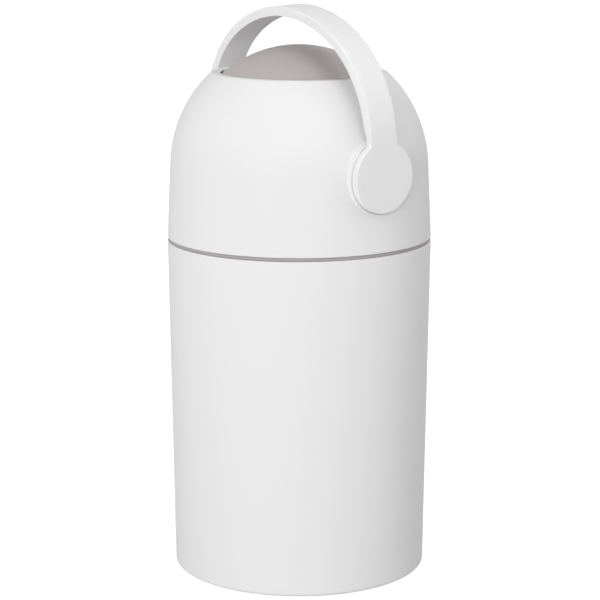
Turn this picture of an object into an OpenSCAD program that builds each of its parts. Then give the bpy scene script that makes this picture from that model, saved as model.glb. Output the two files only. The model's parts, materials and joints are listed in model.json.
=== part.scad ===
// Nappy bin with a flip handle.
// The handle and the ball-shaped drum turn together about the X axis. A chute runs through the drum,
// and a weighted piston slides in it: turned over, it pushes the nappy out into the bag below.
// Units are millimetres. The origin is on the floor under the centre of the bin, +Z is up,
// +X is along the handle's pivot axis and -Y is the front.

/* [Bucket] */
// Outer radius of the bucket at its rim
rim_r = 140; // [132:0.5:150]
// Outer radius that the bucket's side has at its foot
foot_r = 134.7; // [128:0.1:138]
// Height of the bucket's rim above the floor
rim_z = 356; // [330:1:390]
// Wall thickness of the bucket
bucket_wall = 2.6; // [2:0.1:4]
// Rounding between the bucket's side and its underside
foot_round = 4; // [3:0.5:18]

/* [Bag ring] */
// Height of the grey band that shows between bucket and head
band_h = 3.2; // [2:0.1:5]
// How far the band is set in from the bucket's side
band_inset = 0.8; // [0:0.1:2]
// Depth of the skirt that hangs inside the bucket
skirt_h = 27; // [18:1:40]

/* [Head] */
// Outer radius of the dome
dome_r = 136.5; // [130:0.1:139]
// Height of the dome's centre
dome_z = 433; // [425:0.5:440]
// Wall thickness of the head
head_wall = 2.8; // [2:0.1:4]
// Height of the flat rim around the round opening in the top of the dome
head_top = 533; // [530:0.5:535]
// Gap between the rim's inner edge and the drum
rim_gap = 1.5; // [1:0.1:2.5]
// Distance of each side's flat boss, which a handle disc turns on, from the bin's centre plane
boss_face = 135.1; // [134:0.1:136]

/* [Drum] */
// Height of the pivot axis of handle and drum
pivot_z = 437.5; // [433:0.5:440]
// Outer radius of the ball-shaped drum
ball_r = 124; // [123:0.5:127]
// Wall thickness of the drum's shell
ball_wall = 3; // [2:0.1:4]
// Inner radius of the chute
chute_r = 74; // [66:0.5:75]

/* [Handle] */
// Half of the handle's width over its two discs
handle_x = 142.3; // [141:0.1:146]
// Height of the handle's top above the pivot axis
handle_h = 165.4; // [160:0.1:170]
// Outer radius of the arch across its top
crown_r = 159.6; // [155:0.1:164]
// Outer radius of the arch's two shoulders
shoulder_r = 123; // [115:0.5:128]
// Width of the flat band
band_w = 35; // [28:0.5:37]
// Thickness of the flat band
band_t = 10; // [7:0.5:10]
// Radius of the round disc at each end
disc_r = 37.5; // [34:0.5:38]
// Angle that the handle leans to the front at rest, within the play of its seals
lean = 2.5; // [0:0.5:4]

/* [Piston] */
// Length of the piston along the chute
piston_h = 46; // [38:1:60]
// Radius of the steel weight inside the piston
weight_r = 52; // [40:1:60]

/* [Hidden] */
$fn = 120;
eps = 0.01;
gap = 0.3;               // between faces of bodies that move apart
bush_play = 0.05;        // radial play of a shaft in its bush

// Bucket
floor_gap = 0.8;         // the rubber ring lifts the bucket's edge off the floor
recess_h = 3;
floor_t = 3;
foot_ring_in = 104;
foot_ring_out = 118;
side_slope = (rim_r - foot_r) / rim_z;

// Bag ring
band_z0 = rim_z + gap;
band_z1 = band_z0 + band_h;
band_out = rim_r - band_inset;
band_in = 131;
skirt_out = rim_r - bucket_wall - 1.6;
skirt_t = 2.6;
lip_in = 121;
seal_in = 133;
seal_out = 136;

// Head
head_z0 = band_z1 + gap;
flange_z0 = band_z1 + 0.9;
flange_t = 2.6;
column_at = 126;
column_r = 4.5;
column_h = 22;
columns = 6;
rim_round = 2.5;
boss_skin = 2.8;
disc_gap = 0.6;          // between a disc's edge and the round pocket that it sits in
pocket_r = disc_r + disc_gap;
boss_r = pocket_r + 1.4;
boss_wall = 2.6;
hub_r = 26;
hub_in = 121;
bush_r = 18;
bush_flange_r = 21;
bush_flange_t = 2;

// Hinge at the rear
hinge_y = rim_r + 4.2;
hinge_z = band_z1 + 1.2;
knuckle_r = 4;
pin_r = 1.75;
head_knuckle_w = 27;
ring_knuckle_w = 16;
knuckle_gap = 0.4;
pin_l = head_knuckle_w + 2 * (knuckle_gap + ring_knuckle_w) + 1.5;

// Housing and seals round the drum
housing_r = ball_r + 3;
housing_t = 2.6;
mouth_r = 88;
seal_t = 3.4;
upper_seal_from = 50;    // degrees from the top
upper_seal_to = 56;
lower_seal_from = 130;
lower_seal_to = 135;

// Drum
flat_x = 110;
tube_t = 2;
collar_out = chute_r + 6;
collar_lip = 2;
axle_r = 14;
axle_flange_r = 24;
axle_flange_t = 4;
key_w = 18;
key_depth = 3.2;
stop_at = 34;            // distance of the stop pin from the pivot axis
stop_pin_r = 4;
stop_angle = 97.5;
stop_x0 = 112.5;
stop_x1 = 119;
stop_screw_l = 8;
drum_boss_x = 95;
drum_boss_y = 45;
drum_boss_r = 5;

// Handle
disc_x0 = boss_face + 0.4;
sweep_r = dome_r + 2.7;  // the band stays outside this sphere, so it clears the head as it turns
band_steps = 24;         // straight steps in each shoulder
disc_edge_r = 1.6;
root_fillet = 5;
crown_z = handle_h - crown_r;
shoulder_x = handle_x - shoulder_r;
shoulder_z = crown_z + sqrt(pow(crown_r - shoulder_r, 2) - pow(shoulder_x, 2));
crown_angle = atan2(shoulder_x, shoulder_z - crown_z);

// Piston
tube_end = sqrt(ball_r * ball_r - chute_r * chute_r) - 8;
collar_y0 = tube_end - 6;
piston_end = tube_end - 0.4;
piston_y0 = -piston_end;
piston_y1 = piston_y0 + piston_h;
cup_r = chute_r - 1;
glide_r = chute_r - gap;
cup_t = 2.4;
dish_r = 58;
dish_depth = 7;
piston_screw_at = (dish_r + 4 + cup_r - cup_t) / 2;
weight_t = 6;
rib_r = 40;              // the ring rib in each cup that holds the weight

// ---------- helpers ----------

// A solid of revolution about +X, its profile drawn as [distance from the axis, x]
module spin_x() { rotate([0, 90, 0]) rotate_extrude() children(); }

// A solid of revolution about the chute's axis, its profile drawn as [distance from the axis, y]
module spin_chute() { translate([0, 0, pivot_z]) rotate([-90, 0, 0]) rotate_extrude() children(); }

// The handle's rest pose: the children turned about the pivot axis by the handle's lean
module leaned() {
    translate([0, 0, pivot_z]) rotate([lean, 0, 0]) translate([0, 0, -pivot_z]) children();
}

// The children at +X and mirrored at -X
module both_sides() { children(); mirror([1, 0, 0]) children(); }

// The part of a profile between two angles from straight up, seen from the point [0, z]
module sector(z, from, to, reach = 200) {
    translate([0, z]) polygon([[0, 0], reach * [sin(from), cos(from)],
        reach * [sin((from + to) / 2), cos((from + to) / 2)] * 1.2, reach * [sin(to), cos(to)]]);
}

// A countersunk screw pointing along +Z, its head's face at z = 0
module csk_screw(d, l, head_d) {
    difference() {
        union() {
            cylinder(h = l, d = d, $fn = 32);
            cylinder(h = (head_d - d) / 2 + eps, d1 = head_d, d2 = d, $fn = 32);
        }
        translate([0, 0, -eps]) cylinder(h = 1.2, d = head_d * 0.42, $fn = 6);
    }
}

// A pan-head screw pointing along +Z, the underside of its head at z = 0
module pan_screw(d, l, head_d, head_h) {
    difference() {
        union() {
            translate([0, 0, -eps]) cylinder(h = l + eps, d = d, $fn = 32);
            translate([0, 0, -head_h]) cylinder(h = head_h, d = head_d, $fn = 32);
        }
        translate([0, 0, -head_h - eps]) cylinder(h = head_h * 0.6, d = head_d * 0.45, $fn = 6);
    }
}

// ---------- bucket ----------

// The bucket's outline, drawn in by t all round, standing on z = z0
module bucket_outline(t, z0, round) {
    long = sqrt(1 + side_slope * side_slope);
    foot = foot_r - t * long;
    cx = foot + side_slope * (z0 + round) - round * long;
    translate([cx, z0 + round]) circle(round);
    polygon([[0, z0], [cx, z0], [cx + round / long, z0 + round - round * side_slope / long],
        [foot + side_slope * (rim_z + 1), rim_z + 1], [0, rim_z + 1]]);
}

module bucket() {
    color("white") difference() {
        rotate_extrude($fn = 180) intersection() {
            difference() {
                bucket_outline(0, floor_gap, foot_round);
                bucket_outline(bucket_wall, floor_gap + recess_h + floor_t, max(foot_round - bucket_wall, 1));
            }
            square([200, rim_z]);
        }
        translate([0, 0, floor_gap - eps]) cylinder(h = recess_h + eps, r = foot_ring_out, $fn = 180);
    }
}

module foot_ring() {
    color("dimgray") rotate_extrude($fn = 180)
        translate([foot_ring_in, 0]) square([foot_ring_out - foot_ring_in, floor_gap + recess_h]);
}

// ---------- bag ring and hinge ----------

module knuckle(x, w) {
    translate([x - w / 2, hinge_y, hinge_z]) rotate([0, 90, 0]) cylinder(h = w, r = knuckle_r, $fn = 48);
}

module hinge_bore() {
    translate([-pin_l, hinge_y, hinge_z]) rotate([0, 90, 0])
        cylinder(h = 2 * pin_l, r = pin_r + bush_play, $fn = 48);
}

ring_knuckle_x = (head_knuckle_w + ring_knuckle_w) / 2 + knuckle_gap;

module bag_ring() {
    skirt_z0 = rim_z - skirt_h;
    color("darkgray") difference() {
        union() {
            rotate_extrude($fn = 180) difference() {
                union() {
                    translate([band_in, band_z0]) square([band_out - band_in, band_h]);
                    translate([skirt_out - skirt_t, skirt_z0]) square([skirt_t, skirt_h + gap + eps]);
                    polygon([[lip_in, skirt_z0], [skirt_out - eps, skirt_z0], [skirt_out - eps, skirt_z0 + 9],
                        [skirt_out - skirt_t, skirt_z0 + 9], [lip_in, skirt_z0 + 2.4]]);
                }
                translate([seal_in, band_z1 - 1.2]) square([seal_out - seal_in, 2]);
                polygon([[lip_in - 1, skirt_z0 - 1], [skirt_out - 4, skirt_z0 - 1],
                    [skirt_out - 4, skirt_z0 + 5], [lip_in - 1, skirt_z0 - 1 + 1.4]]);
            }
            both_sides() {
                knuckle(ring_knuckle_x, ring_knuckle_w);
                translate([ring_knuckle_x - ring_knuckle_w / 2, band_out - 4, band_z0])
                    cube([ring_knuckle_w, hinge_y - band_out + 4, band_h]);
            }
        }
        hinge_bore();
    }
}

module ring_seal() {
    color("gray") rotate_extrude($fn = 180)
        translate([seal_in, band_z1 - 1.2]) square([seal_out - seal_in, 1.2 + 0.7]);
}

module hinge_pin() {
    color("silver") translate([-pin_l / 2, hinge_y, hinge_z]) rotate([0, 90, 0])
        cylinder(h = pin_l, r = pin_r, $fn = 48);
}

// ---------- head ----------

head_r0 = rim_r;

// The head's outline drawn in by t: a slightly tapered side under a part of a sphere
module head_outline(t) {
    intersection() {
        translate([0, dome_z]) circle(dome_r - t, $fn = 240);
        translate([0, dome_z]) square([dome_r, dome_r]);
    }
    polygon([[0, head_z0 - t], [head_r0 - t, head_z0 - t], [dome_r - t, dome_z + eps], [0, dome_z + eps]]);
}

// Centre of the small rounding where the dome turns into the flat rim
rim_round_z = head_top - rim_round;
rim_round_at = sqrt(pow(dome_r - rim_round, 2) - pow(rim_round_z - dome_z, 2));

// The dome's skin, turned inwards at the top as a flat rim that follows the drum with its inner edge
module head_profile() {
    difference() {
        head_outline(0);
        intersection() {
            head_outline(head_wall);
            square([200, head_top - head_wall]);
        }
        translate([0, head_top]) square([200, 100]);
        translate([0, pivot_z]) circle(ball_r + rim_gap, $fn = 240);
        difference() {
            translate([rim_round_at, rim_round_z]) square([20, 20]);
            translate([rim_round_at, rim_round_z]) circle(rim_round, $fn = 48);
            sector(dome_z, atan2(rim_round_at, rim_round_z - dome_z), 90);
        }
    }
}

// What one side boss adds to the head: its flat face, a hub, the wall of the pocket where it is sunk
// below the head's side, and the round rim where it stands out of the dome
module side_boss() {
    translate([0, 0, pivot_z]) spin_x() {
        translate([0, boss_face - boss_skin]) square([boss_r, boss_skin]);
        translate([0, hub_in]) square([hub_r, boss_face - hub_in]);
    }
    intersection() {
        translate([0, 0, pivot_z]) spin_x()
            translate([pocket_r, boss_face - boss_skin]) square([boss_wall, 20]);
        rotate_extrude($fn = 180) head_outline(0);
    }
    difference() {
        translate([0, 0, pivot_z]) spin_x()
            translate([pocket_r - 1.4, 110]) square([boss_r - pocket_r + 1.4, boss_face - 110]);
        rotate_extrude($fn = 180) head_outline(head_wall);
    }
}

module head_shell() {
    color("white") difference() {
        union() {
            rotate_extrude($fn = 180) head_profile();
            both_sides() side_boss();
            for (i = [0 : columns - 1]) rotate([0, 0, (i + 0.5) * 360 / columns]) {
                translate([column_at, 0, flange_z0 + flange_t])
                    cylinder(h = column_h, r = column_r, $fn = 32);
                translate([column_at, -1.4, flange_z0 + flange_t]) cube([11.2, 2.8, column_h]);
            }
            knuckle(0, head_knuckle_w);
            translate([-head_knuckle_w / 2, rim_r - 2.5, head_z0 + 0.1])
                cube([head_knuckle_w, hinge_y - rim_r + 2.5, knuckle_r]);
        }
        both_sides() translate([0, 0, pivot_z]) rotate([0, 90, 0]) {
            translate([0, 0, boss_face]) cylinder(h = 50, r = pocket_r);
            cylinder(h = 200, r = bush_r);
        }
        for (i = [0 : columns - 1]) rotate([0, 0, (i + 0.5) * 360 / columns])
            translate([column_at, 0, flange_z0]) cylinder(h = column_h, r = 1.9, $fn = 32);
        translate([0, 0, pivot_z]) stop_screw_spots() cylinder(h = stop_screw_l, r = 1.05, $fn = 24);
        hinge_bore();
    }
}

module housing_screw_spots() {
    for (i = [0 : columns - 1]) rotate([0, 0, (i + 0.5) * 360 / columns]) translate([column_at, 0, flange_z0])
        children();
}

module catch_screw_spots() {
    for (sx = [-1, 1]) translate([sx * 7, -123.5, flange_z0]) children();
}

module drum_housing() {
    color("gainsboro") difference() {
        rotate_extrude($fn = 180) {
            difference() {
                translate([0, pivot_z]) circle(housing_r + housing_t, $fn = 240);
                translate([0, pivot_z]) circle(housing_r, $fn = 240);
                translate([0, flange_z0 + flange_t]) square([200, 300]);
                translate([-200, 100]) square([200, 600]);
                square([mouth_r, 600]);
            }
            difference() {
                translate([100, flange_z0]) square([head_r0 - head_wall - 0.4 - 100, flange_t]);
                translate([0, pivot_z]) circle(housing_r, $fn = 240);
            }
        }
        housing_screw_spots() {
            translate([0, 0, -1]) cylinder(h = 10, r = 2.1, $fn = 32);
            translate([0, 0, -eps]) cylinder(h = 2.2, d1 = 8, d2 = 4.2, $fn = 32);
        }
        catch_screw_spots() translate([0, 0, -1]) cylinder(h = 10, r = 1.3, $fn = 32);
    }
}

module housing_screws() { color("silver") housing_screw_spots() csk_screw(3.8, 18, 7.6); }

module upper_seal() {
    color("dimgray") rotate_extrude($fn = 180) intersection() {
        difference() {
            translate([0, pivot_z]) circle(ball_r + gap + seal_t, $fn = 240);
            translate([0, pivot_z]) circle(ball_r + gap, $fn = 240);
        }
        sector(pivot_z, upper_seal_from, upper_seal_to);
    }
}

module seal_retainer() {
    color("gainsboro") rotate_extrude($fn = 180) intersection() {
        difference() {
            translate([0, dome_z]) circle(dome_r - head_wall, $fn = 240);
            translate([0, pivot_z]) circle(ball_r + gap + seal_t, $fn = 240);
        }
        sector(pivot_z, upper_seal_from - 1.5, upper_seal_to + 3);
    }
}

module lower_seal() {
    color("dimgray") rotate_extrude($fn = 180) intersection() {
        difference() {
            translate([0, pivot_z]) circle(housing_r, $fn = 240);
            translate([0, pivot_z]) circle(ball_r + gap, $fn = 240);
        }
        sector(pivot_z, lower_seal_from, lower_seal_to);
    }
}

module axle_bush() {
    color("ivory") translate([0, 0, pivot_z]) spin_x() {
        translate([axle_r + bush_play, hub_in - bush_flange_t])
            square([bush_r - axle_r - bush_play, boss_face - hub_in + bush_flange_t - 0.2]);
        translate([axle_r + bush_play, hub_in - bush_flange_t])
            square([bush_flange_r - axle_r - bush_play, bush_flange_t]);
    }
}

module axle_bush_right() { axle_bush(); }
module axle_bush_left() { mirror([1, 0, 0]) axle_bush(); }

// The half ring, below the pivot axis, that the drum's stop pin meets at each end of its turn
module turn_stop() {
    color("ivory") translate([0, 0, pivot_z]) difference() {
        spin_x() {
            translate([stop_at - 4.5, stop_x0]) square([9, stop_x1 - stop_x0 + eps]);
            translate([bush_flange_r + 0.6, stop_x1])
                square([stop_at + 4.5 - bush_flange_r - 0.6, hub_in - stop_x1]);
        }
        for (side = [-1, 1]) rotate([-side * (stop_angle - 90), 0, 0])
            translate([0, side > 0 ? 0 : -100, 0]) cube([200, 100, 100]);
        translate([0, -100, 0]) cube([200, 200, 100]);
        stop_screw_spots() translate([0, 0, -10]) cylinder(h = 20, r = 1.1, $fn = 24);
    }
}

// Two spots on the hub's face, given from the pivot axis
module stop_screw_spots() {
    for (side = [-1, 1]) rotate([side * 50, 0, 0]) translate([stop_x1, 0, -23.7]) rotate([0, 90, 0])
        children();
}

module stop_screws() {
    color("silver") translate([0, 0, pivot_z]) stop_screw_spots() pan_screw(2, stop_screw_l, 3.6, 1.2);
}

module front_catch() {
    color("ivory") difference() {
        union() {
            translate([-11, -130.4, flange_z0 - 2]) cube([22, 11.4, 2]);
            translate([-8, -130.4, flange_z0 - 14]) cube([16, 1.6, 13]);
            translate([-8, -129.9, flange_z0 - 12.5]) rotate([0, 90, 0]) cylinder(h = 16, r = 1, $fn = 32);
        }
        catch_screw_spots() translate([0, 0, -5]) cylinder(h = 10, r = 1.3, $fn = 32);
    }
}

module catch_screws() {
    color("silver") catch_screw_spots() translate([0, 0, -2]) pan_screw(2.5, 4.4, 4.6, 1.6);
}

// ---------- handle and drum ----------

// The n points after the first one of an arc of radius r about [x, z]
function arc(r, x, z, from, to, n) =
    [for (i = [1 : n]) let (a = from + (to - from) * i / n) [x + r * cos(a), z + r * sin(a)]];

// The +X half of the band's outer line, or of the line t inside it: a straight leg, a shoulder and
// half the crown
function band_half(t) = concat(
    [[handle_x - t, 0], [handle_x - t, shoulder_z]],
    arc(shoulder_r - t, shoulder_x, shoulder_z, 0, 90 - crown_angle, band_steps),
    arc(crown_r - t, 0, crown_z, 90 - crown_angle, 90, band_steps / 2));

// That half and its mirror image, from the +X foot over the top to the -X foot
function band_line(t) = let (p = band_half(t))
    concat(p, [for (i = [len(p) - 2 : -1 : 0]) [-p[i][0], p[i][1]]]);

function reversed(p) = [for (i = [len(p) - 1 : -1 : 0]) p[i]];

module handle_band() {
    rotate([90, 0, 0]) linear_extrude(band_w, center = true)
        polygon(concat(band_line(0), reversed(band_line(band_t))));
}

module handle_disc() {
    spin_x() {
        translate([0, disc_x0]) square([disc_r, handle_x - disc_x0 - disc_edge_r]);
        translate([0, disc_x0]) square([disc_r - disc_edge_r, handle_x - disc_x0]);
        translate([disc_r - disc_edge_r, handle_x - disc_edge_r]) circle(disc_edge_r, $fn = 48);
    }
}

// The small fillets where the band's edges run into the disc
module root_fillets() {
    reach = disc_r + root_fillet;
    side = band_w / 2 + root_fillet;
    up = sqrt(reach * reach - side * side);
    for (s = [-1, 1]) difference() {
        translate([disc_x0, s > 0 ? band_w / 2 - 4 : -side, up * band_w / 2 / side - 4])
            cube([handle_x - disc_x0 - 0.6, root_fillet + 4, up - up * band_w / 2 / side + 4]);
        translate([100, s * side, up]) rotate([0, 90, 0]) cylinder(h = 60, r = root_fillet, $fn = 48);
        difference() {
            translate([100, -60, -60]) cube([60, 120, 120]);
            translate([100, 0, 0]) rotate([0, 90, 0]) cylinder(h = 60, r = reach * cos(20), $fn = 96);
        }
    }
}

module handle() {
    color("white") leaned() translate([0, 0, pivot_z]) difference() {
        union() {
            difference() {
                handle_band();
                sphere(sweep_r, $fn = 180);
                rotate([0, 90, 0]) cylinder(h = 2 * disc_x0, r = boss_r + disc_gap, center = true);
            }
            both_sides() {
                handle_disc();
                root_fillets();
            }
        }
        both_sides() {
            translate([disc_x0 - 10, -key_w / 2, -key_w / 2]) cube([10 + key_depth, key_w, key_w]);
            rotate([0, 90, 0]) cylinder(h = disc_x0 + 5, r = 2, $fn = 32);
        }
    }
}

module axle() {
    color("ivory") leaned() translate([0, 0, pivot_z]) difference() {
        union() {
            spin_x() {
                translate([0, flat_x - ball_wall - axle_flange_t]) square([axle_flange_r, axle_flange_t]);
                translate([0, flat_x - ball_wall - eps]) square([axle_r, boss_face - flat_x + ball_wall]);
            }
            translate([boss_face - 1, -key_w / 2 + 0.1, -key_w / 2 + 0.1])
                cube([disc_x0 + key_depth - 0.1 - boss_face + 1, key_w - 0.2, key_w - 0.2]);
        }
        rotate([0, 90, 0]) cylinder(h = 200, r = 2.6, $fn = 32);
    }
}

module axle_right() { axle(); }
module axle_left() { mirror([1, 0, 0]) axle(); }

module axle_screws() {
    head_x = flat_x - ball_wall - axle_flange_t;
    color("silver") leaned() translate([0, 0, pivot_z]) both_sides()
        translate([head_x, 0, 0]) rotate([0, 90, 0]) pan_screw(4, disc_x0 + 4 - head_x, 9, 3);
}

module drum_boss_spots() {
    for (sx = [-1, 1], sy = [-1, 1]) translate([sx * drum_boss_x, sy * drum_boss_y, 0]) children();
}

// The drum's shell with its screw bosses, before it is split into two halves
module drum_body() {
    difference() {
        union() {
            difference() {
                sphere(ball_r, $fn = 240);
                intersection() {
                    sphere(ball_r - ball_wall, $fn = 240);
                    cube([2 * (flat_x - ball_wall), 300, 300], center = true);
                }
            }
            intersection() {
                sphere(ball_r - 1, $fn = 240);
                drum_boss_spots() translate([0, 0, -120]) cylinder(h = 240, r = drum_boss_r, $fn = 32);
            }
        }
        both_sides() translate([flat_x, -150, -150]) cube([60, 300, 300]);
        rotate([90, 0, 0]) cylinder(h = 400, r = collar_out + 0.2, center = true, $fn = 180);
        both_sides() rotate([0, 90, 0]) cylinder(h = 200, r = axle_r + bush_play, $fn = 96);
    }
}

module drum_half_upper() {
    color("rosybrown") leaned() translate([0, 0, pivot_z]) difference() {
        union() {
            intersection() {
                drum_body();
                translate([-200, -200, 0]) cube([400, 400, 200]);
            }
            translate([flat_x - 1, 0, stop_at]) rotate([0, 90, 0])
                cylinder(h = 7.5, r = stop_pin_r, $fn = 48);
        }
        drum_boss_spots() translate([0, 0, -eps]) cylinder(h = 16, r = 1.7, $fn = 32);
    }
}

module drum_half_lower() {
    color("rosybrown") leaned() translate([0, 0, pivot_z]) difference() {
        intersection() {
            drum_body();
            translate([-200, -200, -200]) cube([400, 400, 200]);
        }
        drum_boss_spots() {
            translate([0, 0, -150]) cylinder(h = 160, r = 2.2, $fn = 32);
            translate([0, 0, -150]) cylinder(h = 150 - 12, r = 4, $fn = 32);
        }
    }
}

module drum_screws() {
    color("silver") leaned() translate([0, 0, pivot_z]) drum_boss_spots() translate([0, 0, -12])
        pan_screw(3.4, 26, 7.4, 3);
}

module chute_tube() {
    color("gainsboro") leaned() spin_chute() translate([chute_r, -tube_end]) square([tube_t, 2 * tube_end]);
}

// The ring that finishes one mouth of the chute, flush with the ball, with a lip that keeps the piston in
module chute_collar() {
    intersection() {
        translate([0, 0, pivot_z]) sphere(ball_r, $fn = 240);
        spin_chute() {
            translate([chute_r + tube_t, collar_y0]) square([collar_out - chute_r - tube_t, 60]);
            translate([chute_r - collar_lip, tube_end]) square([collar_out - chute_r + collar_lip, 60]);
        }
    }
}

module chute_collar_rear() { color("rosybrown") leaned() chute_collar(); }
module chute_collar_front() { color("rosybrown") leaned() mirror([0, 1, 0]) chute_collar(); }

// ---------- piston ----------

// Half of the piston as a dished cup, from its outer face at y = 0 to the joint at y = piston_h / 2
module piston_cup_profile() {
    half = piston_h / 2;
    difference() {
        translate([0, 0]) square([cup_r, half]);
        translate([-1, cup_t + dish_depth]) square([cup_r - cup_t + 1, half]);
        translate([dish_r + 4, cup_t]) square([cup_r - cup_t - dish_r - 4, half]);
        polygon([[-1, -1], [dish_r, -1], [dish_r, 0], [dish_r - 9, dish_depth], [-1, dish_depth]]);
        translate([cup_r - 1.2, 8]) square([5, 6]);
    }
    translate([rib_r, cup_t + dish_depth - eps])
        square([cup_t, half - weight_t / 2 - cup_t - dish_depth + eps]);
}

module piston_screw_spots() {
    for (a = [30, 150, 270]) rotate([0, 0, a]) translate([piston_screw_at, 0, 0]) children();
}

// Places its children on the chute's axis, with their +Z along +Y from the piston's front face
module in_piston() { translate([0, piston_y0, pivot_z]) rotate([-90, 0, 0]) children(); }

// One cup with its three screw columns, its outer face at z = 0
module piston_cup() {
    rotate_extrude() piston_cup_profile();
    piston_screw_spots() translate([0, 0, 1]) cylinder(h = piston_h / 2 - 1, r = 4.7, $fn = 32);
}

module piston_cup_front() {
    color("gainsboro") leaned() in_piston() difference() {
        piston_cup();
        piston_screw_spots() {
            translate([0, 0, -1]) cylinder(h = 30, r = 1.8, $fn = 32);
            translate([0, 0, -1]) cylinder(h = 3.8, r = 3.3, $fn = 32);
        }
    }
}

module piston_cup_rear() {
    color("gainsboro") leaned() in_piston() translate([0, 0, piston_h]) mirror([0, 0, 1]) difference() {
        piston_cup();
        piston_screw_spots() translate([0, 0, 6]) cylinder(h = 30, r = 1.4, $fn = 32);
    }
}

module piston_weight() {
    color("silver") leaned() in_piston() translate([0, 0, (piston_h - weight_t) / 2])
        cylinder(h = weight_t, r = weight_r);
}

module glide_ring(y) {
    color("gray") leaned() spin_chute() translate([cup_r - 1.2, y]) square([glide_r - cup_r + 1.2, 6]);
}

module glide_ring_front() { glide_ring(piston_y0 + 8); }
module glide_ring_rear() { glide_ring(piston_y1 - 14); }

module piston_screws() {
    color("silver") leaned() in_piston() piston_screw_spots() translate([0, 0, 2.8])
        pan_screw(2.8, 34, 6, 2.2);
}

bucket();
foot_ring();
bag_ring();
ring_seal();
hinge_pin();
head_shell();
drum_housing();
housing_screws();
upper_seal();
seal_retainer();
lower_seal();
axle_bush_left();
axle_bush_right();
turn_stop();
stop_screws();
front_catch();
catch_screws();
handle();
axle_left();
axle_right();
axle_screws();
drum_half_upper();
drum_half_lower();
drum_screws();
chute_tube();
chute_collar_front();
chute_collar_rear();
piston_cup_front();
piston_cup_rear();
piston_weight();
glide_ring_front();
glide_ring_rear();
piston_screws();
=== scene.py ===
"""Looks of a nappy bin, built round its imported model.

The bin is a tall bucket, a thin grey bag ring and a domed head. In the head a ball-shaped drum turns with
the loop handle. The shells round the drum are new surfaces worked out with numpy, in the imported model's own
frame: metres, +Z up, +X along the handle's pivot axis and -Y to the front. The drum and the pieces that hide
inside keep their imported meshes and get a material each.
"""

import json
import logging
from dataclasses import dataclass, replace
from enum import Enum
from typing import Any, Iterable, Optional, Sequence

import bmesh
import bpy
import numpy as np
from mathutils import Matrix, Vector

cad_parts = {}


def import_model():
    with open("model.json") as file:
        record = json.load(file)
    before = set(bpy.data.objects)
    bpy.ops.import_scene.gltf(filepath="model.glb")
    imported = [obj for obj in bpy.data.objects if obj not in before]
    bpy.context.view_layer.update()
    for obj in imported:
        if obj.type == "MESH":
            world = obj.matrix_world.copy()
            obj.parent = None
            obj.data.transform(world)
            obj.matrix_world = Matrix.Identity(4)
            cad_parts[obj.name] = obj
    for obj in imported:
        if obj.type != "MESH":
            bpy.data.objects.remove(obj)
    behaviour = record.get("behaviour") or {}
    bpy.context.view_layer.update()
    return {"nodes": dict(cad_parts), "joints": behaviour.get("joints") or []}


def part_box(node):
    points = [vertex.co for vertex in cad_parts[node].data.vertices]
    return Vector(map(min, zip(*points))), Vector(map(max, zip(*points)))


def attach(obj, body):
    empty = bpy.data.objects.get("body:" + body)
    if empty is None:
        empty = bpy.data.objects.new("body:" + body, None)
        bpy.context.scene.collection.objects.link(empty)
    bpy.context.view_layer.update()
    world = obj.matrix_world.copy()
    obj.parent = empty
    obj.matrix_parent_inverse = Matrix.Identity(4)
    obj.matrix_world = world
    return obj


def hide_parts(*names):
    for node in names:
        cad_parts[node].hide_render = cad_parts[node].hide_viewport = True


LOG = logging.getLogger("nappy_bin")
MM = 0.001
MERGE_MM = 0.002
SHARP_DEG = 40.0
TURN_STEPS = 288
MIRROR = np.array([-1.0, 1.0, 1.0])

Array = np.ndarray
Colour = tuple[float, float, float, float]


# ---------------------------------------------------------------- colours and shader nodes


def linear(hex_colour: str) -> Colour:
    """Turns an sRGB hex value into Blender's linear colour.

    Each channel c under 0.04045 becomes c / 12.92, and any other ((c + 0.055) / 1.055) to the power 2.4.

    Args:
        hex_colour: The colour as "#rrggbb".

    Returns:
        Linear red, green, blue and an alpha of 1.
    """
    channels = np.array([int(hex_colour[i:i + 2], 16) for i in (1, 3, 5)]) / 255.0
    low = channels / 12.92
    high = ((channels + 0.055) / 1.055) ** 2.4
    red, green, blue = np.where(channels <= 0.04045, low, high)
    return float(red), float(green), float(blue), 1.0


def per_metre(size_mm: float) -> float:
    """A texture scale whose pattern repeats about once in size_mm, on Object coordinates in metres."""
    return 1.0 / (size_mm * MM)


def add_node(tree: bpy.types.NodeTree, kind: str, settings: Optional[dict[str | int, Any]] = None,
             links: Optional[dict[str | int, bpy.types.NodeSocket]] = None) -> bpy.types.Node:
    """Adds one shader node, sets it and links its inputs.

    Args:
        tree: The node tree that gets the node.
        kind: The node's type, such as "ShaderNodeTexNoise".
        settings: Attribute names or input names (or numbers) with the value that each gets.
        links: Input names or numbers with the output socket that each is joined to.

    Returns:
        The new node.
    """
    node = tree.nodes.new(kind)
    for key, value in (settings or {}).items():
        if isinstance(key, str) and hasattr(node, key):
            setattr(node, key, value)
        else:
            node.inputs[key].default_value = value
    for key, socket in (links or {}).items():
        tree.links.new(socket, node.inputs[key])
    return node


def new_material(name: str) -> tuple[bpy.types.Material, bpy.types.NodeTree, bpy.types.NodeSocket]:
    """Makes a node material that holds nothing but its object's coordinates.

    Args:
        name: The material's name.

    Returns:
        The material, its node tree and the Object coordinates.
    """
    material = bpy.data.materials.new(name)
    material.use_nodes = True
    tree = material.node_tree
    tree.nodes.clear()
    return material, tree, add_node(tree, "ShaderNodeTexCoord").outputs["Object"]


# ---------------------------------------------------------------- finishes


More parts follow.
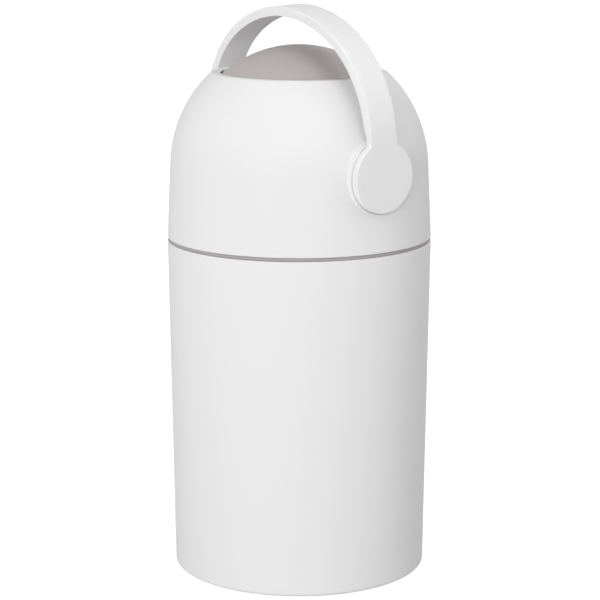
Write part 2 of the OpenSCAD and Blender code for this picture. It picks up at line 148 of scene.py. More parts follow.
@dataclass(frozen=True)
class MouldedPlastic:
    """Injection-moulded plastic.

    A steel mould gives it one even colour, with a barely seen drift where the melt cooled at different
    speeds, and the fine grain that the mould's spark-eroded face leaves.
    """

    name: str
    colour: str
    drift_colour: str
    roughness: float
    ior: float = 1.49
    drift_mm: float = 90.0
    # A real eroded grain is about 0.1 mm wide; it is drawn coarser, so that it shows
    grain_mm: float = 0.9
    grain_depth_mm: float = 0.012
    translucence: float = 0.0
    specular: float = 0.5
    gloss_spread: float = 0.04

    def build(self) -> bpy.types.Material:
        """Drift goes into the colour, grain into the bump and a little of it into the roughness.

        Returns:
            The new material.
        """
        material, tree, place = new_material(self.name)
        drift = add_node(tree, "ShaderNodeTexNoise", {"Scale": per_metre(self.drift_mm), "Detail": 2.0},
                         {"Vector": place})
        grain = add_node(tree, "ShaderNodeTexNoise", {"Scale": per_metre(self.grain_mm), "Detail": 3.0},
                         {"Vector": place})
        tint = add_node(tree, "ShaderNodeMix",
                        {"data_type": "RGBA", 6: linear(self.colour), 7: linear(self.drift_colour)},
                        {0: drift.outputs["Fac"]})
        gloss = add_node(tree, "ShaderNodeMapRange",
                         {"To Min": self.roughness - self.gloss_spread,
                          "To Max": self.roughness + self.gloss_spread},
                         {"Value": grain.outputs["Fac"]})
        relief = add_node(tree, "ShaderNodeBump", {"Strength": 1.0, "Distance": self.grain_depth_mm * MM},
                          {"Height": grain.outputs["Fac"]})
        skin = add_node(tree, "ShaderNodeBsdfPrincipled",
                        {"IOR": self.ior, "Subsurface Weight": self.translucence,
                         "Subsurface Radius": (1.2, 1.1, 1.0), "Subsurface Scale": MM,
                         "Specular IOR Level": self.specular},
                        {"Base Color": tint.outputs[2], "Roughness": gloss.outputs["Result"],
                         "Normal": relief.outputs["Normal"]})
        add_node(tree, "ShaderNodeOutputMaterial", links={"Surface": skin.outputs["BSDF"]})
        return material


@dataclass(frozen=True)
class Rubber:
    """Moulded rubber.

    It swallows light and shows only a broad dull sheen, with pale specks of the talc that keeps it from
    sticking in its mould.
    """

    name: str
    colour: str
    speck_colour: str
    roughness: float = 0.72
    ior: float = 1.52
    # Talc and grain are a tenth of this in width; they are drawn coarser, so that they show
    speck_mm: float = 1.5
    speck_peaks: tuple[float, float] = (0.55, 0.85)
    grain_mm: float = 0.7
    grain_depth_mm: float = 0.03

    def build(self) -> bpy.types.Material:
        """Specks come from the peaks of a noise, over a fine bump.

        Returns:
            The new material.
        """
        material, tree, place = new_material(self.name)
        specks = add_node(tree, "ShaderNodeTexNoise", {"Scale": per_metre(self.speck_mm), "Detail": 4.0},
                          {"Vector": place})
        peaks = add_node(tree, "ShaderNodeMapRange",
                         {"From Min": self.speck_peaks[0], "From Max": self.speck_peaks[1]},
                         {"Value": specks.outputs["Fac"]})
        tint = add_node(tree, "ShaderNodeMix",
                        {"data_type": "RGBA", 6: linear(self.colour), 7: linear(self.speck_colour)},
                        {0: peaks.outputs["Result"]})
        grain = add_node(tree, "ShaderNodeTexNoise", {"Scale": per_metre(self.grain_mm), "Detail": 2.0},
                         {"Vector": place})
        relief = add_node(tree, "ShaderNodeBump", {"Strength": 1.0, "Distance": self.grain_depth_mm * MM},
                          {"Height": grain.outputs["Fac"]})
        skin = add_node(tree, "ShaderNodeBsdfPrincipled",
                        {"Roughness": self.roughness, "IOR": self.ior, "Sheen Weight": 0.15,
                         "Sheen Roughness": 0.6},
                        {"Base Color": tint.outputs[2], "Normal": relief.outputs["Normal"]})
        add_node(tree, "ShaderNodeOutputMaterial", links={"Surface": skin.outputs["BSDF"]})
        return material


@dataclass(frozen=True)
class PlatedSteel:
    """Zinc-plated steel.

    The plating is bright but cloudy: crystals some millimetres wide differ a little in tone and in how
    sharply they mirror.
    """

    name: str
    colour: str
    cloud_colour: str
    roughness: float = 0.32
    gloss_spread: float = 0.07
    # Plating on so small a part has finer crystals; they are drawn wide enough to show
    crystal_mm: float = 2.5

    def build(self) -> bpy.types.Material:
        """Voronoi crystals set both the tone and the roughness.

        Returns:
            The new material.
        """
        material, tree, place = new_material(self.name)
        crystals = add_node(tree, "ShaderNodeTexVoronoi", {"Scale": per_metre(self.crystal_mm)},
                            {"Vector": place})
        tone = add_node(tree, "ShaderNodeRGBToBW", links={"Color": crystals.outputs["Color"]})
        tint = add_node(tree, "ShaderNodeMix",
                        {"data_type": "RGBA", 6: linear(self.colour), 7: linear(self.cloud_colour)},
                        {0: tone.outputs["Val"]})
        gloss = add_node(tree, "ShaderNodeMapRange",
                         {"To Min": self.roughness - self.gloss_spread,
                          "To Max": self.roughness + self.gloss_spread},
                         {"Value": tone.outputs["Val"]})
        skin = add_node(tree, "ShaderNodeBsdfPrincipled", {"Metallic": 1.0},
                        {"Base Color": tint.outputs[2], "Roughness": gloss.outputs["Result"]})
        add_node(tree, "ShaderNodeOutputMaterial", links={"Surface": skin.outputs["BSDF"]})
        return material


@dataclass(frozen=True)
class PressedFelt:
    """Pressed wool felt.

    Short fibres lie every way, so it is dull, mottled and softly fuzzy at grazing angles.
    """

    name: str
    colour: str
    fibre_colour: str
    # A wool fibre is about 0.03 mm thick; it is drawn coarser, so that it shows
    fibre_mm: float = 0.8
    tuft_mm: float = 5.0
    pile_mm: float = 0.15
    mottle_range: tuple[float, float] = (0.1, 0.45)

    def build(self) -> bpy.types.Material:
        """Fine fibres lie over broad tufts, both in colour and bump, with a sheen.

        Returns:
            The new material.
        """
        material, tree, place = new_material(self.name)
        tufts = add_node(tree, "ShaderNodeTexNoise", {"Scale": per_metre(self.tuft_mm), "Detail": 3.0},
                         {"Vector": place})
        fibres = add_node(tree, "ShaderNodeTexNoise",
                          {"Scale": per_metre(self.fibre_mm), "Detail": 6.0, "Distortion": 2.5},
                          {"Vector": place})
        mottle = add_node(tree, "ShaderNodeMath", {"operation": "MULTIPLY"},
                          {0: tufts.outputs["Fac"], 1: fibres.outputs["Fac"]})
        spread = add_node(tree, "ShaderNodeMapRange",
                          {"From Min": self.mottle_range[0], "From Max": self.mottle_range[1]},
                          {"Value": mottle.outputs["Value"]})
        tint = add_node(tree, "ShaderNodeMix",
                        {"data_type": "RGBA", 6: linear(self.colour), 7: linear(self.fibre_colour)},
                        {0: spread.outputs["Result"]})
        relief = add_node(tree, "ShaderNodeBump", {"Strength": 1.0, "Distance": self.pile_mm * MM},
                          {"Height": fibres.outputs["Fac"]})
        skin = add_node(tree, "ShaderNodeBsdfPrincipled",
                        {"Roughness": 0.95, "Sheen Weight": 0.4, "Sheen Roughness": 0.4},
                        {"Base Color": tint.outputs[2], "Normal": relief.outputs["Normal"]})
        add_node(tree, "ShaderNodeOutputMaterial", links={"Surface": skin.outputs["BSDF"]})
        return material


class Finish(Enum):
    """The finishes of the bin's pieces."""

    # Polypropylene homopolymer in a warm white, spark-eroded matt: soft broad highlights and no mirror
    WHITE_SHELL = MouldedPlastic("matt_white_polypropylene", "#e9e8e8", "#e7e6e6", 0.65,
                                 translucence=0.06, specular=0.12)
    # The handle's face is a shade smoother, because a hand slides on it
    WHITE_HANDLE = MouldedPlastic("satin_white_polypropylene", "#ebeaeb", "#e9e8e8", 0.62,
                                  grain_depth_mm=0.008, translucence=0.06, specular=0.12)
    # ABS in a warm grey with a satin mould face, which the seals wipe and keep a little shinier
    DRUM = MouldedPlastic("satin_warm_grey_abs", "#b7b1b1", "#b4aeae", 0.5, ior=1.54,
                          grain_depth_mm=0.006, specular=0.08)
    # Grey polypropylene, eroded as matt as the white shells
    RING = MouldedPlastic("matt_grey_polypropylene", "#aaa7a8", "#a5a2a3", 0.6, specular=0.15)
    # Unpigmented-looking pale grey polypropylene of the parts that only show when the bin is opened
    INNER = MouldedPlastic("pale_grey_polypropylene", "#cfcdca", "#c8c6c3", 0.42, translucence=0.04)
    # Acetal of the sliding parts: dense, slightly waxy and smooth
    ACETAL = MouldedPlastic("ivory_acetal", "#e2dccb", "#dcd5c2", 0.28, grain_depth_mm=0.003,
                            translucence=0.1)
    # Thermoplastic rubber of the lips that wipe the drum
    SEAL = Rubber("dark_seal_rubber", "#3a3a3b", "#4a4a4b")
    # Harder rubber that the bin stands on
    FOOT = Rubber("grey_foot_rubber", "#4b4b4c", "#5d5d5e", roughness=0.8, grain_depth_mm=0.05)
    # Bright zinc plating on screws, hinge pin and piston weight
    STEEL = PlatedSteel("zinc_plated_steel", "#c9cbcd", "#b4b6b9")
    # Felt of the rings that the piston glides on
    FELT = PressedFelt("pressed_grey_felt", "#5c5d60", "#85868a")


class Palette:
    """Makes each finish's material once and hands it out."""

    def __init__(self) -> None:
        """Starts with no material made."""
        self._made: dict[Finish, bpy.types.Material] = {}

    def of(self, finish: Finish) -> bpy.types.Material:
        """The material of a finish, made on its first use.

        Args:
            finish: The finish.

        Returns:
            Its material.
        """
        if finish not in self._made:
            self._made[finish] = finish.value.build()
        return self._made[finish]


# ---------------------------------------------------------------- surfaces


@dataclass(frozen=True)
class Sheet:
    """A grid of points, in millimetres, whose last column joins the first one.

    Attributes:
        points: The points, shaped (rows, columns, 3).
        ring_rows: The last row joins the first one too.
        windows: Places without faces, each as (first row, last row, first column, last column). Columns may
            be negative or run past the last one.
    """

    points: Array
    ring_rows: bool = False
    windows: tuple[tuple[int, int, int, int], ...] = ()

    def faces(self) -> Array:
        """The quads, as numbers of points row by row.

        Returns:
            An array shaped (quads, 4).
        """
        rows, columns = self.points.shape[:2]
        row = np.arange(rows if self.ring_rows else rows - 1)
        keep = np.ones((row.size, columns), bool)
        for first_row, last_row, first_column, last_column in self.windows:
            hole = np.arange(first_column, last_column) % columns
            keep[first_row:last_row, hole] = False
        r0, c0 = np.meshgrid(row, np.arange(columns), indexing="ij")
        r0, c0 = r0[keep], c0[keep]
        r1, c1 = (r0 + 1) % rows, (c0 + 1) % columns
        return np.stack([r0 * columns + c0, r0 * columns + c1, r1 * columns + c1, r1 * columns + c0], axis=1)


def capped(points: Array) -> Array:
    """Adds a row at each end with every point at the end ring's centre, so that the ends are closed.

    Args:
        points: The rings, shaped (rings, points, 3).

    Returns:
        The rings with two more rows.
    """
    first = np.broadcast_to(points[0].mean(axis=0), points[0].shape)
    last = np.broadcast_to(points[-1].mean(axis=0), points[-1].shape)
    return np.concatenate([first[None], points, last[None]])


def rounded(corners: Sequence[tuple[float, float]], radii: Sequence[float], steps: int = 6,
            loop: bool = True) -> Array:
    """A polyline whose corners become arcs.

    At a corner whose sides turn by the angle t, an arc of radius r touches both sides at r * tan(t / 2)
    from the corner. Its points lie at equal angles between the two touching points.

    Args:
        corners: The corner points.
        radii: The radius of each corner, 0 for a sharp one.
        steps: The number of chords in each arc.
        loop: Whether the last corner joins the first one.

    Returns:
        The points, shaped (n, 2).
    """
    points = np.array(corners, float)
    count = len(points)
    line: list[Array] = []
    for i, radius in enumerate(radii):
        here = points[i]
        if radius <= 0 or (not loop and i in (0, count - 1)):
            line.append(here[None])
            continue
        back = points[i - 1] - here
        ahead = points[(i + 1) % count] - here
        back, ahead = back / np.linalg.norm(back), ahead / np.linalg.norm(ahead)
        half = np.arccos(np.clip(np.dot(back, ahead), -1, 1)) / 2
        middle = (back + ahead) / np.linalg.norm(back + ahead)
        centre = here + middle * radius / np.sin(half)
        sweep = (np.pi / 2 - half) * np.linspace(-1, 1, steps + 1)
        side = back - middle * np.dot(back, middle)
        side /= np.linalg.norm(side)
        arc = centre - radius * (np.cos(sweep)[:, None] * middle + np.sin(sweep)[:, None] * side)
        line.append(arc)
    return np.concatenate(line)


def revolved(profile: Array, steps: int = TURN_STEPS, ring: bool = True) -> Sheet:
    """A solid of revolution about Z.

    The point (r, z) of the profile at the angle a is (r cos a, r sin a, z).

    Args:
        profile: The outline as rows of (distance from the axis, height).
        steps: The number of steps round the axis.
        ring: Whether the outline is a loop; an open one has both ends on the axis.

    Returns:
        The surface, with one row per profile point.
    """
    angle = np.arange(steps) * 2 * np.pi / steps
    radius, height = profile[:, :1], profile[:, 1:]
    points = np.stack([radius * np.cos(angle), radius * np.sin(angle),
                       np.broadcast_to(height, (len(profile), steps))], axis=2)
    return Sheet(points, ring_rows=ring)


def along_x(sheet: Sheet, centre: tuple[float, float, float]) -> Sheet:
    """Lays a surface's Z axis along +X, by a cyclic swap of the axes, and moves its origin to centre."""
    return replace(sheet, points=np.roll(sheet.points, 1, axis=2) + np.array(centre))


def moved(sheet: Sheet, shift: tuple[float, float, float], turn_deg: float) -> Sheet:
    """Shifts a surface, then turns it about Z: (x, y) goes to (x cos a - y sin a, x sin a + y cos a).

    Args:
        sheet: The surface.
        shift: How far it is shifted along each axis.
        turn_deg: The angle a in degrees.

    Returns:
        The moved surface.
    """
    a = np.radians(turn_deg)
    spin = np.array([[np.cos(a), -np.sin(a), 0], [np.sin(a), np.cos(a), 0], [0, 0, 1]])
    return replace(sheet, points=(sheet.points + np.array(shift)) @ spin.T)


def mirrored_x(sheet: Sheet) -> Sheet:
    """The mirror image of a surface in the plane x = 0."""
    return replace(sheet, points=sheet.points * MIRROR)


def quarter(count: int) -> tuple[Array, Array]:
    """1 - sin a and 1 - cos a over a quarter turn: how a round edge draws in and sinks, per radius."""
    a = np.linspace(0, np.pi / 2, count)
    return 1 - np.sin(a), 1 - np.cos(a)


def block(low: tuple[float, float, float], high: tuple[float, float, float], radius: float,
          steps: int = 3) -> Sheet:
    """A box with rounded edges: round-cornered rectangles stacked in Z.

    Near the top and bottom each rectangle is drawn in by r (1 - sin a) while its height is drawn in by
    r (1 - cos a), as the angle a goes over a quarter turn.

    Args:
        low: The lowest corner.
        high: The highest corner.
        radius: The radius of the edges.
        steps: The number of chords in each quarter turn.

    Returns:
        The closed surface.
    """
    inset, rise = (radius * share for share in quarter(steps + 1))
    draws = np.concatenate([inset, inset[::-1]])
    heights = np.concatenate([low[2] + rise, high[2] - rise[::-1]])
    rings = []
    for draw, height in zip(draws, heights):
        x0, y0, x1, y1 = low[0] + draw, low[1] + draw, high[0] - draw, high[1] - draw
        outline = rounded([(x0, y0), (x1, y0), (x1, y1), (x0, y1)], [max(radius - draw, 0.05)] * 4, steps)
        rings.append(np.column_stack([outline, np.full(len(outline), height)]))
    return Sheet(capped(np.array(rings)))


def rod(radius: float, start: float, end: float, edge: float, steps: int = 48) -> Sheet:
    """A round rod along Z with rounded ends."""
    corners = [(0, start), (radius, start), (radius, end), (0, end)]
    return revolved(rounded(corners, [0, edge, edge, 0], 4, loop=False), steps, ring=False)


def tube(outer: float, inner: float, start: float, end: float, edge: float, steps: int = 96) -> Sheet:
    """A round tube along Z whose four edges are rounded."""
    profile = rounded([(inner, start), (outer, start), (outer, end), (inner, end)], [edge] * 4, 4)
    return revolved(profile, steps)


def build_mesh(name: str, sheets: Iterable[Sheet]) -> bpy.types.Object:
    """Joins surfaces into one mesh object in metres, closes its seams and poles and turns its faces outwards.

    Args:
        name: The object's name.
        sheets: The surfaces, in millimetres.

    Returns:
        The object, at the origin.
    """
    points, quads, count = [], [], 0
    for sheet in sheets:
        points.append(sheet.points.reshape(-1, 3) * MM)
        quads.append(sheet.faces() + count)
        count += len(points[-1])
    all_points = np.concatenate(points).astype(np.float32)
    all_quads = np.concatenate(quads).astype(np.int32)
    mesh = bpy.data.meshes.new(name)
    mesh.vertices.add(len(all_points))
    mesh.vertices.foreach_set("co", all_points.ravel())
    mesh.loops.add(all_quads.size)
    mesh.loops.foreach_set("vertex_index", all_quads.ravel())
    mesh.polygons.add(len(all_quads))
    mesh.polygons.foreach_set("loop_start", np.arange(0, all_quads.size, 4, dtype=np.int32))
    mesh.update(calc_edges=True)

    work = bmesh.new()
    work.from_mesh(mesh)
    bmesh.ops.remove_doubles(work, verts=work.verts, dist=MERGE_MM * MM)
    bmesh.ops.recalc_face_normals(work, faces=work.faces)
    work.to_mesh(mesh)
    work.free()
    mesh.validate()
    mesh.polygons.foreach_set("use_smooth", np.ones(len(mesh.polygons), bool))
    mesh.set_sharp_from_angle(angle=np.radians(SHARP_DEG))
    piece = bpy.data.objects.new(name, mesh)
    bpy.context.scene.collection.objects.link(piece)
    LOG.info("%s: %d faces", name, len(mesh.polygons))
    return piece


@dataclass
class Workshop:
    """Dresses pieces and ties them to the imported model.

    Attributes:
        palette: The materials.
        nodes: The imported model's nodes by name.
    """

    palette: Palette
    nodes: dict[str, bpy.types.Object]

    def fit(self, name: str, sheets: Iterable[Sheet], finish: Finish, body: str, *stands_for: str) -> None:
        """Builds a piece, dresses it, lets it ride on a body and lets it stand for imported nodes.

        Args:
            name: The piece's name.
            sheets: Its surfaces.
            finish: Its finish.
            body: The body that it moves with.
            *stands_for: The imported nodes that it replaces.
        """
        piece = build_mesh(name, sheets)
        piece.data.materials.append(self.palette.of(finish))
        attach(piece, body)
        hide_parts(*stands_for)

    def dress(self, finish: Finish, *names: str) -> None:
        """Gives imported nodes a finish.

        Args:
            finish: The finish.
            *names: The nodes' names.
        """
        for name in names:
            slots = self.nodes[name].material_slots
            for slot in slots:
                slot.material = self.palette.of(finish)
            if not slots:
                self.nodes[name].data.materials.append(self.palette.of(finish))
            LOG.info("%s keeps its packed mesh", name)


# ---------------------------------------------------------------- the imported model's driving sizes


@dataclass(frozen=True)
class Drive:
    """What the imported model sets, in millimetres and degrees, so that the new surfaces follow it.

    Attributes:
        rim_r: Outer radius of the bucket's rim.
        rim_z: Height of the bucket's rim.
        pivot_z: Height of the axis that handle and drum turn about.
        hinge_y: Distance of the hinge pin behind the bin's centre.
        hinge_z: Height of the hinge pin.
        lean: Angle that handle and drum lean to the front at rest.
        handle_x: Half of the handle's width.
        handle_h: Height of the handle's top above the pivot axis.
    """

    rim_r: float
    rim_z: float
    pivot_z: float
    hinge_y: float
    hinge_z: float
    lean: float
    handle_x: float
    handle_h: float

    @classmethod
    def read(cls, joints: list[dict[str, Any]]) -> "Drive":
        """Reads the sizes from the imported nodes' boxes and the joints' places.

        Args:
            joints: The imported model's joints.

        Returns:
            The sizes.
        """
        by_name = {joint["name"]: joint for joint in joints}
        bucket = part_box("bucket")[1]
        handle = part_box("handle")[1]
        pivot_z = by_name["handle_turn"]["pos_m"][2] / MM
        _, hinge_y, hinge_z = (value / MM for value in by_name["head_open"]["pos_m"])
        _, slide_y, slide_z = by_name["piston_slide"]["axis"]
        lean = float(np.degrees(np.arctan2(slide_z, slide_y)))
        return cls(bucket[0] / MM, bucket[2] / MM, pivot_z, hinge_y, hinge_z, lean, handle[0] / MM,
                   cls.upright(handle[2] / MM - pivot_z, lean))

    @staticmethod
    def upright(leaned_height: float, lean: float, half_width: float = 17.5) -> float:
        """The height h that a flat top of this half width has before it leans: h cos a + w sin a is known."""
        a = np.radians(lean)
        return float((leaned_height - half_width * np.sin(a)) / np.cos(a))

    def leaned(self, sheet: Sheet) -> Sheet:
        """Turns a surface given from the pivot axis by a, the lean, and lifts it to the rest pose.

        The point (y, z) goes to (y cos a - z sin a, y sin a + z cos a).

        Args:
            sheet: The surface, upright, with its origin on the pivot axis.

        Returns:
            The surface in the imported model's frame.
        """
        a = np.radians(self.lean)
        turn = np.array([[1, 0, 0], [0, np.cos(a), -np.sin(a)], [0, np.sin(a), np.cos(a)]])
        return replace(sheet, points=sheet.points @ turn.T + np.array([0, 0, self.pivot_z]))


# ---------------------------------------------------------------- the bin's sub-assemblies


@dataclass(frozen=True)
class Bucket:
    """The tall white bucket and the rubber ring that it stands on."""

    drive: Drive
    foot_r: float = 134.7
    wall: float = 2.6
    foot_round: float = 4.0
    edge: float = 0.8
    recess_edge: float = 0.6
    floor_gap: float = 0.8
    recess_h: float = 3.0
    floor_t: float = 3.0
    ring_in: float = 104.0
    ring_out: float = 118.0
    ring_edge: float = 1.0

    def shell(self) -> list[Sheet]:
        """The bucket: a drafted side with a rounded foot, a recessed underside and a smooth rim.

        The outline runs from the axis under the floor, out and up the side, over the rim and back down the
        inside to the axis.

        Returns:
            The surface.
        """
        slope = (self.drive.rim_r - self.foot_r) / self.drive.rim_z
        under = self.floor_gap + self.recess_h
        inside = under + self.floor_t
        corners = [(0, under), (self.ring_out, under), (self.ring_out, self.floor_gap),
                   (self.foot_r + slope * self.floor_gap, self.floor_gap),
                   (self.drive.rim_r, self.drive.rim_z),
                   (self.drive.rim_r - self.wall, self.drive.rim_z),
                   (self.foot_r - self.wall + slope * inside, inside), (0, inside)]
        radii = [0, self.recess_edge, self.edge, self.foot_round, self.edge, self.edge,
                 self.foot_round - self.wall, 0]
        return [revolved(rounded(corners, radii, 10, loop=False), ring=False)]

    def foot_ring(self) -> list[Sheet]:
        """The ring under the bucket, with rounded edges."""
        high = self.floor_gap + self.recess_h
        return [tube(self.ring_out, self.ring_in, 0, high, self.ring_edge, TURN_STEPS)]

    def build(self, shop: Workshop) -> None:
        """Adds bucket and foot ring."""
        shop.fit("bucket_shell", self.shell(), Finish.WHITE_SHELL, "bucket", "bucket")
        shop.fit("foot_ring_moulded", self.foot_ring(), Finish.FOOT, "bucket", "foot_ring")


@dataclass(frozen=True)
class BagRing:
    """The grey ring that clamps the bag, with its seal, its hinge knuckles and the hinge pin."""

    drive: Drive
    gap: float = 0.3
    band_h: float = 3.2
    band_inset: float = 0.8
    band_in: float = 131.0
    skirt_out: float = 135.8
    skirt_t: float = 2.6
    skirt_h: float = 27.0
    tab_in: float = 135.2
    tab_gap: float = 0.1
    tab_edge: float = 0.5
    hook_in: float = 121.0
    hook_slope: float = 9.0
    hook_tip: tuple[float, float] = (0.8, 2.4)
    hook_root: float = 5.0
    hook_wall: float = 4.0
    seal_in: float = 133.0
    seal_out: float = 136.0
    seal_depth: float = 1.2
    seal_proud: float = 0.7
    seal_root_edge: float = 0.2
    seal_lip_edge: float = 1.2
    knuckle_r: float = 4.0
    bore_r: float = 1.8
    pin_r: float = 1.75
    knuckle_edge: float = 0.4
    knuckle_from: float = 13.9
    knuckle_to: float = 29.9
    pin_half: float = 30.65
    pin_edge: float = 0.5

    @property
    def band_z0(self) -> float:
        """Height of the band's underside."""
        return self.drive.rim_z + self.gap

    @property
    def band_z1(self) -> float:
        """Height of the band's upper face."""
        return self.band_z0 + self.band_h

    def ring(self) -> list[Sheet]:
        """The ring: a band that shows, a skirt inside the bucket and a hook under it that holds the bag.

        The closed outline goes from the band's outer edge inwards over the seal's groove, down the inside
        to the hook, and back up the outside of the skirt.

        Returns:
            The surface.
        """
        out = self.drive.rim_r - self.band_inset
        floor = self.drive.rim_z - self.skirt_h
        skirt_in = self.skirt_out - self.skirt_t
        hook_out = self.skirt_out - self.hook_wall
        groove = self.band_z1 - self.seal_depth
        corners = [(out, self.band_z1), (self.seal_out, self.band_z1), (self.seal_out, groove),
                   (self.seal_in, groove), (self.seal_in, self.band_z1), (self.band_in, self.band_z1),
                   (self.band_in, self.band_z0), (skirt_in, self.band_z0),
                   (skirt_in, floor + self.hook_slope),
                   (self.hook_in, floor + self.hook_tip[1]), (self.hook_in, floor + self.hook_tip[0]),
                   (hook_out, floor + self.hook_root), (hook_out, floor), (self.skirt_out, floor),
                   (self.skirt_out, self.band_z0), (out, self.band_z0)]
        # The rounding of each corner, in the same order
        radii = [0.6, 0.3, 0.2, 0.2, 0.3, 0.6, 0.4, 0.6, 0.8, 0.7, 0.7, 0.5, 0.6, 0.8, 0.3, 0.6]
        return [revolved(rounded(corners, radii, 3))]

    def knuckles(self) -> list[Sheet]:
        """Two bored knuckles on tabs, one at each side of the head's knuckle.

        Returns:
            The surfaces of both knuckles and both tabs.
        """
        centre = (0.0, self.drive.hinge_y, self.drive.hinge_z)
        barrel = along_x(tube(self.knuckle_r, self.bore_r, self.knuckle_from, self.knuckle_to,
                              self.knuckle_edge), centre)
        tab = block((self.knuckle_from, self.tab_in, self.band_z0),
                    (self.knuckle_to, self.drive.hinge_y - self.bore_r - self.tab_gap, self.band_z1),
                    self.tab_edge)
        return [barrel, tab, mirrored_x(barrel), mirrored_x(tab)]

    def seal(self) -> list[Sheet]:
        """The ring seal: a square root in its groove and a rounded lip above it.

        Returns:
            The surface.
        """
        low = self.band_z1 - self.seal_depth
        high = self.band_z1 + self.seal_proud
        corners = [(self.seal_in, low), (self.seal_out, low), (self.seal_out, high), (self.seal_in, high)]
        return [revolved(rounded(corners, [self.seal_root_edge] * 2 + [self.seal_lip_edge] * 2, 6))]

    def pin(self) -> list[Sheet]:
        """The hinge pin, with eased ends."""
        return [along_x(rod(self.pin_r, -self.pin_half, self.pin_half, self.pin_edge),
                        (0.0, self.drive.hinge_y, self.drive.hinge_z))]

    def build(self, shop: Workshop) -> None:
        """Adds ring, seal and pin.

        Args:
            shop: Where the pieces are dressed and tied to their body.
        """
        shop.fit("bag_ring_band", self.ring() + self.knuckles(), Finish.RING, "bag_ring", "bag_ring")
        shop.fit("ring_seal_lip", self.seal(), Finish.SEAL, "bag_ring", "ring_seal")
        shop.fit("hinge_pin_rod", self.pin(), Finish.STEEL, "bag_ring", "hinge_pin")


